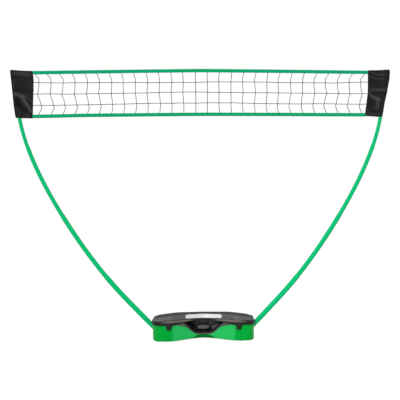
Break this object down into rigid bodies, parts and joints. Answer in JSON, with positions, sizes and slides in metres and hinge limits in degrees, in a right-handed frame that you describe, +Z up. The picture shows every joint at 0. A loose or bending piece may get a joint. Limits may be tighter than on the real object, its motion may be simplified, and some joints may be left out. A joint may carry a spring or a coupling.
{
  "type": "portable badminton net set",
  "caption": "Badminton net on bowed sectional poles that stand in the ends of a hard carry case, with an opening lid, latches and a recessed carry handle.",
  "frame": {"origin": "on the floor under the middle of the case, at the bottom centre of the whole set", "axes": "+X along the net towards its right end, +Y away from the case's front, +Z up"},
  "size_m": [2.8082, 0.299, 1.9935],
  "materials": {
    "tub_plastic": "satin moulded green plastic",
    "lid_plastic": "fine-textured dark grey plastic",
    "label": "plain white plate, semi-gloss",
    "trim_plastic": "black moulded plastic",
    "grip_rubber": "soft dark grey rubber",
    "foot_rubber": "matt black rubber",
    "pin_steel": "plain drawn steel",
    "pole_tube": "gloss green coated glass-fibre tube",
    "elastic_cord": "black braided elastic",
    "net_cord": "thin dark twisted cord",
    "tape_webbing": "green woven tape, folded and sewn",
    "sleeve_fabric": "black woven polyester with a slight sheen"
  },
  "bodies": {
    "base": {"case_tub": "tub_plastic", "handle_housing": "trim_plastic", "pole_socket_left": "trim_plastic", "pole_socket_right": "trim_plastic", "foot_front_left": "foot_rubber", "foot_front_right": "foot_rubber", "foot_rear_left": "foot_rubber", "foot_rear_right": "foot_rubber", "hinge_pin_left": "pin_steel", "hinge_pin_right": "pin_steel", "handle_pin_left": "pin_steel", "handle_pin_right": "pin_steel"},
    "lid": {"case_lid": "lid_plastic", "label_plate": "label", "latch_pin_left": "pin_steel", "latch_pin_right": "pin_steel"},
    "latch_left": {"latch_left": "trim_plastic"},
    "latch_right": {"latch_right": "trim_plastic"},
    "handle": {"handle_bail": "trim_plastic", "handle_grip": "grip_rubber"},
    "pole_left": {"pole_left_section_1": "pole_tube", "pole_left_section_2": "pole_tube", "pole_left_section_3": "pole_tube", "pole_left_section_4": "pole_tube", "pole_left_foot_plug": "trim_plastic", "pole_left_tip_cap": "trim_plastic", "shock_cord_left": "elastic_cord"},
    "pole_right": {"pole_right_section_1": "pole_tube", "pole_right_section_2": "pole_tube", "pole_right_section_3": "pole_tube", "pole_right_section_4": "pole_tube", "pole_right_foot_plug": "trim_plastic", "pole_right_tip_cap": "trim_plastic", "shock_cord_right": "elastic_cord"},
    "net": {"net_mesh": "net_cord", "net_top_tape": "tape_webbing", "net_bottom_tape": "tape_webbing", "net_sleeve_left": "sleeve_fabric", "net_sleeve_right": "sleeve_fabric"}
  },
  "joints": [
    {"name": "lid_hinge", "type": "hinge", "parent": "base", "child": "lid", "pos_m": [0, 0.144, 0.124], "axis": [-1, 0, 0], "range_deg": [0, 105]},
    {"name": "latch_left_hinge", "type": "hinge", "parent": "lid", "child": "latch_left", "pos_m": [-0.2525, -0.144, 0.131], "axis": [-1, 0, 0], "range_deg": [0, 100]},
    {"name": "latch_right_hinge", "type": "hinge", "parent": "lid", "child": "latch_right", "pos_m": [0.2525, -0.144, 0.131], "axis": [-1, 0, 0], "range_deg": [0, 100]},
    {"name": "handle_hinge", "type": "hinge", "parent": "base", "child": "handle", "pos_m": [0, -0.021, 0.12], "axis": [-1, 0, 0], "range_deg": [0, 90]},
    {"name": "pole_left_pull", "type": "slide", "parent": "base", "child": "pole_left", "axis": [-0.6884, 0, 0.7254], "range_m": [0, 0.09]},
    {"name": "pole_right_pull", "type": "slide", "parent": "base", "child": "pole_right", "axis": [0.6884, 0, 0.7254], "range_m": [0, 0.09]},
    {"name": "net_lift", "type": "slide", "parent": "base", "child": "net", "axis": [0, 0, 1], "range_m": [0, 0.36], "deforming": ["net_sleeve_left", "net_sleeve_right"]}
  ]
}
